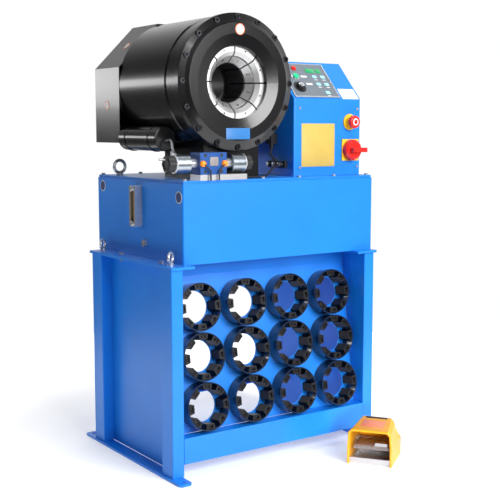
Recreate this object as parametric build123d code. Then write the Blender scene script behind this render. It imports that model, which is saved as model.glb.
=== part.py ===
from build123d import *
import math
import os

# Hose crimping machine on a die stand, with a foot pedal. Millimetres.
# The origin is on the floor, in the middle of the stand's four anchor holes.
# The front of the machine faces -Y and the operator's left is -X.

# Stand
stand_width = 740
stand_depth = 490
post_width = 38
post_depth = 62
post_wall = 3
foot_thickness = 7
foot_width = 42
foot_length = 598
foot_overhang = 9
anchor_inset_x = 21
anchor_inset_y = 21
anchor_hole_radius = 7
plate_thickness = 8
plate_width = 76
plate_overhang = 8
stand_height = 608
panel_sheet = 2
beam_bottom = 43
beam_height = 75
beam_flange = 40
beam_sheet = 3
rear_beam_bottom = 105
rear_beam_height = 60
frame_bolt_radius = 8
frame_bolt_head = 7
frame_bolt_shank = 5
frame_bolt_tip = 12
frame_bolt_front = 95
frame_bolt_back = 150
frame_bolt_margin = 5

# Die rack
rack_tilt = 8.4
rack_sheet = 2.5
rack_header_y = -136
rack_header_height = 36
rack_columns = 4
rack_rows = 3
rack_pitch_x = 162
rack_pitch_slope = 143.5
rack_first_row_drop = 92
cup_radius = 70
cup_wall = 3
cup_depth = 45
cup_window_radius = 47
stored_die_clearance = 0.3
stored_die_inner = 49
stored_die_half_angle = 14
stored_die_hole = 2.5

# Oil tank
tank_ledge = 50
tank_reach = 5
tank_setback = 18
tank_depth = 525
tank_height = 227
tank_wall = 3
tank_rim = 24
lid_thickness = 8
lid_inset = 4
lid_screw_inset = 10
lid_screw_radius = 6.5
lid_screw_head = 5
lid_screw_count = 6
gauge_y = 25
gauge_width = 36
gauge_rise = 92
gauge_height = 120
gauge_depth = 24
gauge_bar = 6
gauge_end = 14
gauge_tube_radius = 8
drain_y = -12
drain_rise = 44
drain_radius = 11
drain_head = 9
foot_eye_ring = 14
foot_eye_wire = 4
foot_eye_seat = 9
foot_eye_turn = 35
foot_eye_front = 42
foot_eye_back = 31
lid_eye_ring = 19
lid_eye_wire = 5
lid_eye_seat = 11
lid_eye_left = 36
lid_eye_right = 75
lid_eye_back = 83
eye_seat_height = 8

# Press head: a cylinder lying along Y
head_offset = 199
head_rise = 276
flange_radius = 195
flange_front = -213
flange_back = -190
flange_skirt_back = -175
dish_radius = 137
dish_depth = 10
mouth_radius = 103
screw_circle = 184
screw_count = 16
screw_head_radius = 8
screw_head_height = 10
screw_shank_radius = 4
screw_shank_length = 18
neck_radius = 189
neck_back = -121
barrel_radius = 192
barrel_bore = 176
barrel_back = 154
barrel_rear_wall = 14
through_radius = 60
cover_half_width = 192.6
cover_chamfer = 136
cover_top = 190
cover_drop = 175
cover_length = 161
cover_sheet = 2

# Dies and piston
die_count = 8
die_gap = 4.2
slide_gap = 0.3
wedge_ratio = 0.25
wedge_start = 150
die_length = 125
die_face_radius = 88
die_lip_radius = 58
die_cone_depth = 34
die_lip = 6
insert_bore = 57
insert_seat = 75
insert_clearance = 0.1
piston_front = -150
piston_back = 60
piston_cavity_end = -40

# Pedestal under the head
pedestal_width = 190
pedestal_front = -172
pedestal_length = 222
saddle_clearance = 0.3

# Return filter beside the head
filter_offset = 165
filter_drop = 161
filter_radius = 36
filter_front = -76
filter_band = 2
filter_band_width = 8
filter_band_inset = 45
filter_chamfer = 6
filter_arm_inset = 60
filter_arm_width = 40
filter_arm_low = 30
filter_arm_high = 12

# Control box
box_margin = 4
box_width = 264
box_front = -170
box_depth = 230
box_front_height = 234
box_height = 352
box_slope_run = 110
box_sheet = 2.5
overlay_left = 8
overlay_width = 175
overlay_low = 6
overlay_length = 144
overlay_thickness = 3
stop_across = 218
stop_rise = 165
stop_ring_radius = 25
stop_ring_thickness = 4
stop_stem_radius = 11
stop_cap_radius = 20
stop_proud = 30
stop_travel = 6
stop_neck = 14
switch_across = 221
switch_rise = 78
switch_plate_side = 67
switch_plate_thickness = 4
switch_knob_radius = 32
switch_knob_depth = 22
switch_knob_chamfer = 6
switch_bar_half = 7
switch_bar_back = 20
switch_bar_proud = 18
switch_shaft_radius = 8
shaft_tail = 12
button_radius = 10
button_length = 18
button_across = 50
button_up = 92
dial_radius = 13
dial_height = 12
dial_shaft_radius = 4
dial_shaft_length = 16
dial_across = 46
dial_up = 48
box_screw_radius = 4
box_screw_head = 2.5
box_screw_left = 22
box_screw_right = 14
box_screw_low = 26
box_screw_high = 28
plug_depth = 22
plug_width = 28
plug_height = 32
plug_back = 86
plug_rise = 97
plug_neck_radius = 7
plug_neck = 14
gland_radius = 8
gland_strip_depth = 10
gland_strip_front = 32
gland_strip_length = 90
gland_strip_rise = 25
gland_strip_height = 20
gland_pitch = 29
gland_first = 48

# Valve on the lid
valve_inset = 58
valve_width = 88
valve_depth = 54
valve_base_height = 16
valve_height = 62
coil_radius = 26
coil_length = 44
coil_knob_radius = 21
coil_knob_length = 20
valve_tube_radius = 14
valve_tube_length = 26
valve_base_overhang = 70
valve_bolt_x = 54
valve_bolt_z = 46
valve_bolt_radius = 5
valve_bolt_depth = 6
valve_bolt_head = 5
lead_across = 36
lead_foot_across = 14
lead_proud = 8
lead_drop = 10
lead_bend = 3
lead_radius = 2.2

# Pedal, turned on the floor
pedal_x = 174.5
pedal_y = -455
pedal_turn = -53.8
pedal_width = 134
pedal_depth = 150
pedal_height = 108
pedal_wall = 4
pedal_base_inset = 10
pedal_base_height = 18
treadle_thickness = 8
treadle_length = 88
treadle_pin_radius = 4
treadle_pin_y = 118
treadle_pin_z = 44
treadle_hub_radius = 8
pedal_bevel = 8
pedal_mouth_drop = 52
pedal_back_margin = 42
pedal_play = 0.5
pedal_rim = 12
pedal_pocket_depth = 10
pedal_pocket_end = 100
pedal_ear = 8
pedal_ear_front = 12
pedal_ear_back = 14
pedal_ear_top = 9
hood_front_bevel = 6
hood_crown = 4
hood_shoulder_back = 38
hood_shoulder_drop = 24
hood_knee_back = 14
hood_knee_drop = 44

# Places worked out from the sizes above
half_width = stand_width / 2
half_depth = stand_depth / 2
anchor_x = half_width + foot_overhang - anchor_inset_x
anchor_y = foot_length / 2 - anchor_inset_y
plate_bottom = stand_height - plate_thickness
inner_x = half_width - post_width
rack_bottom = beam_bottom + beam_height
tank_left = tank_ledge - half_width
tank_right = half_width + tank_reach
tank_width = tank_right - tank_left
tank_front = tank_setback - half_depth
tank_back = tank_front + tank_depth
gauge_bottom = stand_height + gauge_rise
drain_z = stand_height + drain_rise
tank_top = stand_height + tank_height
lid_top = tank_top + lid_thickness
head_x = tank_left + head_offset
head_z = lid_top + head_rise
filter_x = head_x - filter_offset
filter_z = head_z - filter_drop
valve_left = tank_left + valve_inset
box_left = tank_right - box_margin - box_width
stop_x = box_left + stop_across
stop_z = lid_top + stop_rise
switch_x = box_left + switch_across
switch_z = lid_top + switch_rise
cover_back = barrel_back + cover_length
die_front = flange_back + slide_gap
die_back = die_front + die_length
tilt = math.radians(rack_tilt)
head_axis = Axis((head_x, 0, head_z), (0, 1, 0))

os.makedirs("parts", exist_ok=True)


def save(name, *shapes):
    """Write the solids of one node."""
    solids = [solid for shape in shapes for solid in shape.solids()]
    body = solids[0] if len(solids) == 1 else Compound(children=solids)
    export_step(body, "parts/" + name + ".step")


def block(x0, x1, y0, y1, z0, z1):
    """Box between two corners."""
    middle = Pos((x0 + x1) / 2, (y0 + y1) / 2, (z0 + z1) / 2)
    return middle * Box(x1 - x0, y1 - y0, z1 - z0)


def rod_x(x0, x1, y, z, radius):
    """Cylinder along X."""
    return Pos((x0 + x1) / 2, y, z) * Rot(0, 90, 0) * Cylinder(radius, x1 - x0)


def rod_y(x, y0, y1, z, radius):
    """Cylinder along Y."""
    return Pos(x, (y0 + y1) / 2, z) * Rot(90, 0, 0) * Cylinder(radius, y1 - y0)


def rod_z(x, y, z0, z1, radius):
    """Cylinder along Z."""
    return Pos(x, y, (z0 + z1) / 2) * Cylinder(radius, z1 - z0)


def turned(points):
    """Ring turned about the head's axis from (radius, y) points."""
    plane = Plane(origin=(head_x, 0, head_z), x_dir=(1, 0, 0), z_dir=(0, 0, 1))
    return revolve(plane * make_face(Polyline(*points, close=True)), head_axis, 360)


def side_profile(points, x0, x1):
    """Prism along X from (y, z) points."""
    plane = Plane(origin=(x0, 0, 0), x_dir=(0, 1, 0), z_dir=(1, 0, 0))
    return extrude(plane * make_face(Polyline(*points, close=True)), x1 - x0)


def front_profile(points, y0, y1):
    """Prism along Y from (x, z) points."""
    plane = Plane(origin=(0, y0, 0), x_dir=(1, 0, 0), z_dir=(0, -1, 0))
    return extrude(plane * make_face(Polyline(*points, close=True)), -(y1 - y0))


def socket_screw(radius, height, shank, shank_length):
    """Socket screw with its head's seat at z = 0 and the shank below."""
    return screw_head(radius, height) + Pos(0, 0, -shank_length / 2) * Cylinder(shank, shank_length)


def screw_head(radius, height):
    """Head of a socket screw, its seat at z = 0."""
    key = extrude(Pos(0, 0, height) * RegularPolygon(radius * 0.5, 6), -height * 0.6)
    return Pos(0, 0, height / 2) * Cylinder(radius, height) - key


def hex_bolt(radius, height, shank, shank_length):
    """Hexagon bolt with its head's seat at z = 0."""
    head = extrude(RegularPolygon(radius, 6), height)
    return head + Pos(0, 0, -shank_length / 2) * Cylinder(shank, shank_length)


def eye(ring_radius, wire, foot_radius, foot_height):
    """Lifting eye that stands on z = 0 with its ring in the XZ plane."""
    ring_z = foot_height + ring_radius
    ring = Pos(0, 0, ring_z) * Rot(90, 0, 0) * Torus(ring_radius, wire)
    return Pos(0, 0, foot_height / 2) * Cylinder(foot_radius, foot_height) + ring


# Stand: four folded posts, plates, side panels and cross beams
def make_stand():
    posts = []
    for side in (-1, 1):
        for end in (-1, 1):
            x = side * (half_width - post_width / 2)
            y = end * (half_depth - post_depth / 2)
            height = plate_bottom - foot_thickness
            tube = Box(post_width, post_depth, height)
            tube = fillet(tube.edges().filter_by(Axis.Z), post_wall)
            tube -= Box(post_width - 2 * post_wall, post_depth - 2 * post_wall, height)
            posts.append(Pos(x, y, foot_thickness + height / 2) * tube)
    save("corner_posts", *posts)

    panels = []
    for side in (-1, 1):
        x = side * (half_width - post_width + panel_sheet / 2)
        y = half_depth - post_depth
        height = plate_bottom - foot_thickness
        panels.append(Pos(x, 0, foot_thickness + height / 2) * Box(panel_sheet, 2 * y, height))
    save("side_panels", *panels)

    plates = []
    feet = []
    for side in (-1, 1):
        outer = side * (half_width + plate_overhang / 2)
        inner = outer - side * plate_width
        x0, x1 = min(outer, inner), max(outer, inner)
        y1 = half_depth + plate_overhang
        plate = block(x0, x1, -y1, y1, plate_bottom, stand_height)
        for x, y in frame_bolt_places():
            plate -= rod_z(x, y, plate_bottom, stand_height, frame_bolt_shank)
        plates.append(plate)
        outer = half_width + foot_overhang
        foot = Pos(side * (outer - foot_width / 2), 0, foot_thickness / 2) * Box(
            foot_width, foot_length, foot_thickness
        )
        foot = chamfer(foot.edges().filter_by(Axis.Z), 8)
        for end in (-1, 1):
            foot -= rod_z(side * anchor_x, end * anchor_y, 0, foot_thickness, anchor_hole_radius)
        feet.append(foot)
    save("top_plates", *plates)
    save("foot_plates", *feet)

    beams = []
    for end, z0, height in ((-1, beam_bottom, beam_height), (1, rear_beam_bottom, rear_beam_height)):
        z1 = z0 + height
        y0 = end * half_depth
        y1 = end * (half_depth - beam_flange)
        near, far = min(y0, y1), max(y0, y1)
        beam = block(-inner_x, inner_x, near, far, z0, z1)
        cut_near = near + beam_sheet if end < 0 else near
        cut_far = far if end < 0 else far - beam_sheet
        beam -= block(-inner_x, inner_x, cut_near, cut_far, z0 + beam_sheet, z1 - beam_sheet)
        beams.append(beam)
    save("cross_beams", *beams)


def frame_bolt_places():
    """Bolts that hold the tank's feet to the two top plates."""
    left = (tank_left - half_width) / 2
    right = half_width - post_width / 2 - frame_bolt_margin
    rows = (frame_bolt_front - half_depth, half_depth - frame_bolt_back)
    return [(x, y) for x in (left, right) for y in rows]


def rack_point(x, s, out):
    """Place on the rack's slope: s down from the bend and out in front of the sheet."""
    bend_z = plate_bottom - rack_header_height
    y = rack_header_y - s * math.sin(tilt) - out * math.cos(tilt)
    return Pos(x, y, bend_z - s * math.cos(tilt) + out * math.sin(tilt)) * Rot(90 - rack_tilt, 0, 0)


def rack_places():
    """The die cups' places, row by row."""
    rows = []
    for row in range(rack_rows):
        s = rack_first_row_drop + row * rack_pitch_slope
        first = -(rack_columns - 1) / 2 * rack_pitch_x
        rows.append([rack_point(first + c * rack_pitch_x, s, 0) for c in range(rack_columns)])
    return rows


def stored_die():
    """One stored die, lying along Z from the rack's sheet outwards."""
    outer = cup_radius - cup_wall - stored_die_clearance
    half = math.radians(stored_die_half_angle)
    low = stored_die_inner * math.tan(half)
    high = outer * math.sin(half)
    face = make_face(
        Polyline(
            (stored_die_inner, -low), (outer - 2, -high), (outer - 2, high), (stored_die_inner, low), close=True
        )
    )
    die = extrude(face, cup_depth)
    step = block(stored_die_inner + 4, outer - 5, -high / 2, high / 2, cup_depth - 4, cup_depth)
    hole = Pos(outer - 8, high * 0.2, cup_depth - 8) * Cylinder(stored_die_hole, 8)
    return die - step - hole


def make_rack():
    bend_z = plate_bottom - rack_header_height
    drop = bend_z - rack_bottom
    toe_y = rack_header_y - drop * math.tan(tilt)
    t = rack_sheet
    sheet = side_profile(
        [
            (rack_header_y, plate_bottom),
            (rack_header_y, bend_z),
            (toe_y, rack_bottom),
            (toe_y + t / math.cos(tilt), rack_bottom),
            (rack_header_y + t, bend_z),
            (rack_header_y + t, plate_bottom),
        ],
        -inner_x + panel_sheet,
        inner_x - panel_sheet,
    )
    cups = []
    die = stored_die()
    step = 360 / die_count
    for number, row in enumerate(rack_places(), start=1):
        dies = []
        for place in row:
            sheet -= place * Cylinder(cup_window_radius, 30)
            ring = Pos(0, 0, cup_depth / 2) * Cylinder(cup_radius, cup_depth)
            ring -= Pos(0, 0, cup_depth / 2) * Cylinder(cup_radius - cup_wall, cup_depth)
            cups.append(place * ring)
            for n in range(die_count):
                dies.append(place * Rot(0, 0, n * step) * die)
        save(f"stored_dies_row_{number}", *dies)
    save("rack_panel", sheet)
    save("die_cups", *cups)


# Tank, lid and what is fixed to them
def make_tank():
    shell = block(tank_left, tank_right, tank_front, tank_back, stand_height, tank_top)
    shell = fillet(shell.edges().filter_by(Axis.Z), 2 * tank_wall)
    shell -= block(
        tank_left + tank_wall,
        tank_right - tank_wall,
        tank_front + tank_wall,
        tank_back - tank_wall,
        stand_height + tank_wall,
        tank_top - tank_wall,
    )
    shell -= block(
        tank_left + tank_rim,
        tank_right - tank_rim,
        tank_front + tank_rim,
        tank_back - tank_rim,
        tank_top - tank_wall,
        tank_top,
    )
    shell -= rod_x(tank_left - 1, tank_left + tank_wall + 1, drain_y, drain_z, drain_radius / 2)
    save("tank_shell", shell)
    lid = block(
        tank_left + lid_inset,
        tank_right - lid_inset,
        tank_front + lid_inset,
        tank_back - lid_inset,
        tank_top,
        lid_top,
    )
    save("tank_lid", lid)

    outer_bolt = hex_bolt(frame_bolt_radius, frame_bolt_head, frame_bolt_shank, plate_thickness + frame_bolt_tip)
    under_bolt = Rot(180, 0, 0) * hex_bolt(frame_bolt_radius, frame_bolt_head, frame_bolt_shank, plate_thickness)
    bolts = [Pos(x, y, stand_height) * outer_bolt for x, y in frame_bolt_places()[:2]]
    bolts += [Pos(x, y, plate_bottom) * under_bolt for x, y in frame_bolt_places()[2:]]
    save("frame_bolts", *bolts)

    eye_x = (tank_left - half_width - plate_overhang / 2) / 2
    foot_eye = Rot(0, 0, foot_eye_turn) * eye(foot_eye_ring, foot_eye_wire, foot_eye_seat, eye_seat_height)
    lid_eye = eye(lid_eye_ring, lid_eye_wire, lid_eye_seat, eye_seat_height)
    eyes = [Pos(eye_x, y, stand_height) * foot_eye for y in (foot_eye_front - half_depth, half_depth - foot_eye_back)]
    for x in (tank_left + lid_eye_left, tank_right - lid_eye_right):
        eyes.append(Pos(x, tank_back - lid_eye_back, lid_top) * lid_eye)
    save("lifting_eyes", *eyes)

    g0, g1 = gauge_y - gauge_width / 2, gauge_y + gauge_width / 2
    top = gauge_bottom + gauge_height
    guard = block(tank_left - gauge_depth, tank_left, g0, g1, gauge_bottom, top)
    low = gauge_bottom + gauge_end
    high = top - gauge_end
    guard -= block(tank_left - gauge_depth, tank_left, g0 + gauge_bar, g1 - gauge_bar, low, high)
    save("gauge_frame", guard)
    glass = rod_z(tank_left - gauge_depth / 2, gauge_y, low, high, gauge_tube_radius)
    save("gauge_glass", glass)
    plug = Pos(tank_left, drain_y, drain_z) * Rot(0, -90, 0) * hex_bolt(
        drain_radius, drain_head, drain_radius / 2, tank_wall
    )
    save("drain_plug", plug)


# Press head
def screw_places():
    """Angles of the flange screws, the first at the top."""
    return [math.radians(n * 360 / screw_count) for n in range(screw_count)]


def on_head(angle, radius, y):
    """Point at an angle from the top, seen from the front."""
    return (head_x + radius * math.sin(angle), y, head_z + radius * math.cos(angle))


def make_head():
    seat_y = flange_front + 16
    flange = turned(
        [
            (flange_radius, flange_skirt_back),
            (flange_radius, flange_front + 15),
            (screw_circle - 6, flange_front + 7),
            (screw_circle - 18, flange_front),
            (dish_radius, flange_front),
            (mouth_radius, flange_front + dish_depth),
            (mouth_radius, flange_back),
            (neck_radius + slide_gap, flange_back),
            (neck_radius + slide_gap, flange_skirt_back),
        ]
    )
    barrel = turned(
        [
            (neck_radius, flange_back),
            (neck_radius, neck_back),
            (barrel_radius, neck_back + 3),
            (barrel_radius, barrel_back),
            (through_radius, barrel_back),
            (through_radius, barrel_back - barrel_rear_wall),
            (barrel_bore, barrel_back - barrel_rear_wall),
            (barrel_bore, flange_back),
        ]
    )
    screws = []
    screw = socket_screw(screw_head_radius, screw_head_height, screw_shank_radius, screw_shank_length)
    for angle in screw_places():
        x, _, z = on_head(angle, screw_circle, 0)
        flange -= rod_y(x, flange_front - 1, seat_y, z, screw_head_radius + 1)
        flange -= rod_y(x, seat_y, flange_back, z, screw_shank_radius)
        barrel -= rod_y(x, flange_back, seat_y + screw_shank_length, z, screw_shank_radius)
        screws.append(Pos(x, seat_y, z) * Rot(90, 0, 0) * screw)
    save("front_flange", flange)
    save("head_barrel", barrel)
    save("flange_screws", *screws)

    def cover_outline(inset):
        side = cover_half_width - inset
        corner = cover_half_width - cover_chamfer - inset * 0.4
        top = head_z + cover_top - inset
        low = head_z - cover_drop
        shoulder = head_z + cover_top - cover_chamfer - inset * 0.4
        points = [(-side, low), (-side, shoulder), (-corner, top), (corner, top), (side, shoulder), (side, low)]
        return [(head_x + x, z) for x, z in points]

    cover = front_profile(cover_outline(0), barrel_back, cover_back)
    inner = [(x, max(z, head_z - cover_drop + cover_sheet)) for x, z in cover_outline(cover_sheet)]
    cover -= front_profile(inner, barrel_back, cover_back - cover_sheet)
    cover -= rod_y(head_x, barrel_back, cover_back + 1, head_z, through_radius)
    save("rear_cover", cover)

    half = pedestal_width / 2
    back = pedestal_front + pedestal_length
    rise = math.sqrt(barrel_radius**2 - half**2)
    saddle = block(head_x - half, head_x + half, pedestal_front, back, lid_top, head_z - rise)
    saddle -= rod_y(head_x, pedestal_front - 1, back + 1, head_z, barrel_radius + saddle_clearance)
    save("head_pedestal", saddle)


def die_sector(radius):
    """Sector of one die, its midline along +Z from the head's axis."""
    half = math.pi / die_count
    apex = die_gap / 2 / math.sin(half)
    reach = radius * 1.3
    side = (reach - apex) * math.tan(half)
    points = [(0, apex), (-side, reach), (side, reach)]
    return front_profile([(head_x + x, head_z + z) for x, z in points], die_front - 1, die_back + 1)


def wedge_height(y, clearance):
    """Height of the wedge flat above the head's axis at y."""
    return wedge_start - wedge_ratio * (y - die_front) + clearance


def make_dies():
    wedge = side_profile(
        [
            (die_front, head_z),
            (die_front, head_z + wedge_height(die_front, 0)),
            (die_back, head_z + wedge_height(die_back, 0)),
            (die_back, head_z),
        ],
        head_x - wedge_start,
        head_x + wedge_start,
    )
    cone_end = die_front + die_cone_depth
    seat_front = cone_end + die_lip
    hollow = turned(
        [
            (0, die_front - 1),
            (die_face_radius + 1, die_front - 1),
            (die_face_radius, die_front),
            (die_face_radius - 12, die_front + 9),
            (die_face_radius - 14, die_front + 15),
            (die_lip_radius, cone_end),
            (die_lip_radius, seat_front),
            (insert_seat, seat_front),
            (insert_seat, die_back + 1),
            (0, die_back + 1),
        ]
    )
    master = (die_sector(wedge_start) & wedge) - hollow
    ring = turned(
        [
            (insert_bore, seat_front + insert_clearance),
            (insert_seat - insert_clearance, seat_front + insert_clearance),
            (insert_seat - insert_clearance, die_back),
            (insert_bore, die_back),
        ]
    )
    insert = die_sector(insert_seat) & ring
    insert -= rod_z(head_x, seat_front + 18, head_z + insert_bore - 2, head_z + insert_bore + 8, 3)
    for n in range(die_count):
        angle = (n + 0.5) * 360 / die_count
        save(f"master_die_{n + 1}", master.rotate(head_axis, angle))
        save(f"inner_die_{n + 1}", insert.rotate(head_axis, angle))

    piston = turned(
        [
            (through_radius, piston_cavity_end),
            (barrel_bore - slide_gap, piston_cavity_end),
            (barrel_bore - slide_gap, piston_back),
            (through_radius, piston_back),
        ]
    )
    skirt = turned(
        [
            (0, piston_front),
            (barrel_bore - slide_gap, piston_front),
            (barrel_bore - slide_gap, piston_cavity_end),
            (0, piston_cavity_end),
        ]
    )
    mouths = []
    for y in (piston_front, piston_cavity_end):
        flat = wedge_height(y, slide_gap) / math.cos(math.pi / die_count)
        plane = Plane(origin=(head_x, y, head_z), x_dir=(1, 0, 0), z_dir=(0, 1, 0))
        mouths.append(plane * RegularPolygon(flat, die_count))
    save("press_piston", piston + (skirt - loft(mouths)))


def make_filter():
    back = barrel_back - slide_gap
    body = rod_y(filter_x, filter_front, back, filter_z, filter_radius)
    body = chamfer(body.edges().group_by(Axis.Y)[-1], filter_chamfer)
    body = fillet(body.edges().group_by(Axis.Y)[0], filter_chamfer / 2)
    for y in (filter_front + filter_band_inset, back - filter_band_inset):
        body += rod_y(filter_x, y, y + filter_band_width, filter_z, filter_radius + filter_band)
    arm_y = pedestal_front + pedestal_length - filter_arm_inset
    arm_end = head_x - pedestal_width / 2
    low, high = filter_z - filter_arm_low, filter_z - filter_arm_high
    arm = block(filter_x, arm_end, arm_y, arm_y + filter_arm_width, low, high)
    save("return_filter", body + arm)


# Control box
def slope_place(x, s, out):
    """Place on the box's slope: s up from its lower edge."""
    rise = box_height - box_front_height
    angle = math.atan2(rise, box_slope_run)
    y = box_front + s * math.cos(angle) - out * math.sin(angle)
    z = lid_top + box_front_height + s * math.sin(angle) + out * math.cos(angle)
    return Pos(x, y, z) * Rot(math.degrees(angle), 0, 0)


def control_places():
    """Button and dial places along the slope: x and s."""
    return (box_left + button_across, button_up), (box_left + dial_across, dial_up)


def make_control_box():
    back = box_front + box_depth
    shape = [
        (box_front, lid_top),
        (box_front, lid_top + box_front_height),
        (box_front + box_slope_run, lid_top + box_height),
        (back, lid_top + box_height),
        (back, lid_top),
    ]
    t = box_sheet
    inner = [
        (box_front + t, lid_top),
        (box_front + t, lid_top + box_front_height - t / 2),
        (box_front + box_slope_run + t / 2, lid_top + box_height - t),
        (back - t, lid_top + box_height - t),
        (back - t, lid_top),
    ]
    shell = side_profile(shape, box_left, box_left + box_width)
    shell = fillet(shell.edges().filter_by(Axis.Z), 5)
    shell -= side_profile(inner, box_left + t, box_left + box_width - t)
    overlay = slope_place(box_left + overlay_left + overlay_width / 2, overlay_low + overlay_length / 2, 0)
    overlay = overlay * Pos(0, 0, overlay_thickness / 2) * Box(overlay_width, overlay_length, overlay_thickness)
    button_at, dial_at = control_places()
    for (x, s), radius in ((button_at, button_radius), (dial_at, dial_shaft_radius)):
        hole = slope_place(x, s, 0) * Cylinder(radius + slide_gap, 30)
        shell -= hole
        overlay -= hole
    shell -= rod_y(stop_x, box_front - 1, box_front + t + 1, stop_z, stop_stem_radius + slide_gap)
    shell -= rod_y(switch_x, box_front - 1, box_front + t + 1, switch_z, switch_shaft_radius + slide_gap)
    save("control_box", shell)
    save("control_overlay", overlay)

    x, s = button_at
    button = slope_place(x, s, 0) * Cylinder(button_radius, button_length)
    save("start_button", button)
    x, s = dial_at
    knob = Pos(0, 0, overlay_thickness + slide_gap + dial_height / 2) * Cylinder(dial_radius, dial_height)
    knob = fillet(knob.edges().group_by(Axis.Z)[-1], 1.5)
    knob += Cylinder(dial_shaft_radius, dial_shaft_length)
    save("pressure_dial", slope_place(x, s, 0) * knob)

    ring = rod_y(stop_x, box_front - stop_ring_thickness, box_front, stop_z, stop_ring_radius)
    ring += rod_y(stop_x, box_front - stop_neck, box_front, stop_z, stop_stem_radius + 5)
    ring -= rod_y(stop_x, box_front - stop_neck - 1, box_front + 1, stop_z, stop_stem_radius + slide_gap)
    save("stop_collar", ring)
    cap_back = box_front - stop_neck - stop_travel - slide_gap
    cap = rod_y(stop_x, box_front - stop_proud - 2, cap_back, stop_z, stop_cap_radius)
    cap = fillet(cap.edges().group_by(Axis.Y)[0], 5)
    cap += rod_y(stop_x, cap_back, box_front + shaft_tail, stop_z, stop_stem_radius)
    save("stop_button", cap)

    half = switch_plate_side / 2
    plate_front = box_front - switch_plate_thickness
    plate = block(switch_x - half, switch_x + half, plate_front, box_front, switch_z - half, switch_z + half)
    plate -= rod_y(switch_x, plate_front - 1, box_front + 1, switch_z, switch_shaft_radius + slide_gap)
    save("switch_plate", plate)
    face = plate_front - slide_gap
    knob = rod_y(switch_x, face - switch_knob_depth, face, switch_z, switch_knob_radius)
    knob = chamfer(knob.edges().group_by(Axis.Y)[0], switch_knob_chamfer)
    bar_end = switch_knob_radius + 4
    bar_front = face - switch_knob_depth - switch_bar_proud
    low, high = switch_z - switch_bar_half, switch_z + switch_bar_half
    bar = block(switch_x - switch_bar_back, switch_x + bar_end, bar_front, face - switch_knob_depth / 2, low, high)
    knob += bar + rod_y(switch_x, face, box_front + shaft_tail, switch_z, switch_shaft_radius)
    save("switch_knob", knob)

    plug_y = box_front + plug_back
    plug_z = lid_top + plug_rise
    plug = block(box_left - plug_depth, box_left, plug_y, plug_y + plug_width, plug_z, plug_z + plug_height)
    plug += rod_z(box_left - plug_depth / 2, plug_y + plug_width / 2, plug_z - plug_neck, plug_z + 1, plug_neck_radius)
    y0 = box_front + gland_strip_front
    z0 = lid_top + gland_strip_rise
    strip = block(box_left - gland_strip_depth, box_left, y0, y0 + gland_strip_length, z0, z0 + gland_strip_height)
    for n in range(3):
        y = box_front + gland_first + n * gland_pitch
        middle = z0 + gland_strip_height / 2
        strip += rod_x(box_left - plug_depth, box_left - gland_strip_depth + 1, y, middle, gland_radius)
    save("cable_entries", plug, strip)


def lid_screws():
    """Screws round the lid, but for the one that the valve's base hides."""
    inset = lid_inset + lid_screw_inset
    base_right = valve_left + valve_width + valve_base_overhang
    screws = []
    for n in range(lid_screw_count):
        x = tank_left + inset + n * (tank_width - 2 * inset) / (lid_screw_count - 1)
        if not valve_left - 2 * lid_screw_radius < x < base_right + 2 * lid_screw_radius:
            screws.append(Pos(x, tank_front + inset, lid_top) * screw_head(lid_screw_radius, lid_screw_head))
        screws.append(Pos(x, tank_back - inset, lid_top) * screw_head(lid_screw_radius, lid_screw_head))
    return screws


def box_screws():
    """Screws at the corners of the control box's front."""
    screws = []
    screw = Rot(90, 0, 0) * screw_head(box_screw_radius, box_screw_head)
    for x in (box_left + box_screw_left, box_left + box_width - box_screw_right):
        for z in (lid_top + box_screw_low, lid_top + box_front_height - box_screw_high):
            screws.append(Pos(x, box_front, z) * screw)
    return screws


# Valve group on the lid
def make_valve():
    front = pedestal_front - valve_depth
    right = valve_left + valve_width
    base_top = lid_top + valve_base_height
    save("valve_base", block(valve_left, right + valve_base_overhang, front, pedestal_front, lid_top, base_top))
    top = base_top + valve_height
    body = block(valve_left, right, front, pedestal_front, base_top, top)
    body = chamfer(body.edges().filter_by(Axis.Y), 2)
    mid_x, mid_z = (valve_left + right) / 2, (base_top + top) / 2
    screws = []
    for sx in (-1, 1):
        for sz in (-1, 1):
            x, z = mid_x + sx * valve_bolt_x / 2, mid_z + sz * valve_bolt_z / 2
            body -= rod_y(x, front - 1, front + valve_bolt_depth, z, valve_bolt_radius)
            screw = Rot(90, 0, 0) * screw_head(valve_bolt_radius, valve_bolt_head)
            screws.append(Pos(x, front + valve_bolt_depth, z) * screw)
    save("valve_body", body)
    save("cap_screws", *screws, *lid_screws(), *box_screws())
    y = (front + pedestal_front) / 2
    fittings = []
    coils = []
    for side, start in ((-1, valve_left), (1, right)):
        tip = start + side * valve_tube_length
        fittings.append(rod_x(min(start, tip), max(start, tip), y, mid_z, valve_tube_radius))
        far = tip + side * coil_length
        coil = rod_x(min(tip, far), max(tip, far), y, mid_z, coil_radius)
        knob_end = far + side * coil_knob_length
        knob = rod_x(min(far, knob_end), max(far, knob_end), y, mid_z, coil_knob_radius)
        coils.append(coil + knob)
    save("valve_tubes", *fittings)
    save("valve_coils", *coils)
    leads = []
    for side in (-1, 1):
        x = mid_x + side * lead_across
        foot_x = mid_x + side * lead_foot_across
        lead_y = front - lead_proud
        path = FilletPolyline(
            (x, front, mid_z),
            (x, lead_y, mid_z),
            (foot_x, lead_y, base_top + lead_drop),
            (foot_x, lead_y, lid_top),
            radius=lead_bend,
        )
        leads.append(sweep(Plane(path @ 0, z_dir=path % 0) * Circle(lead_radius), path=path))
    save("valve_leads", *leads)


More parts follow.
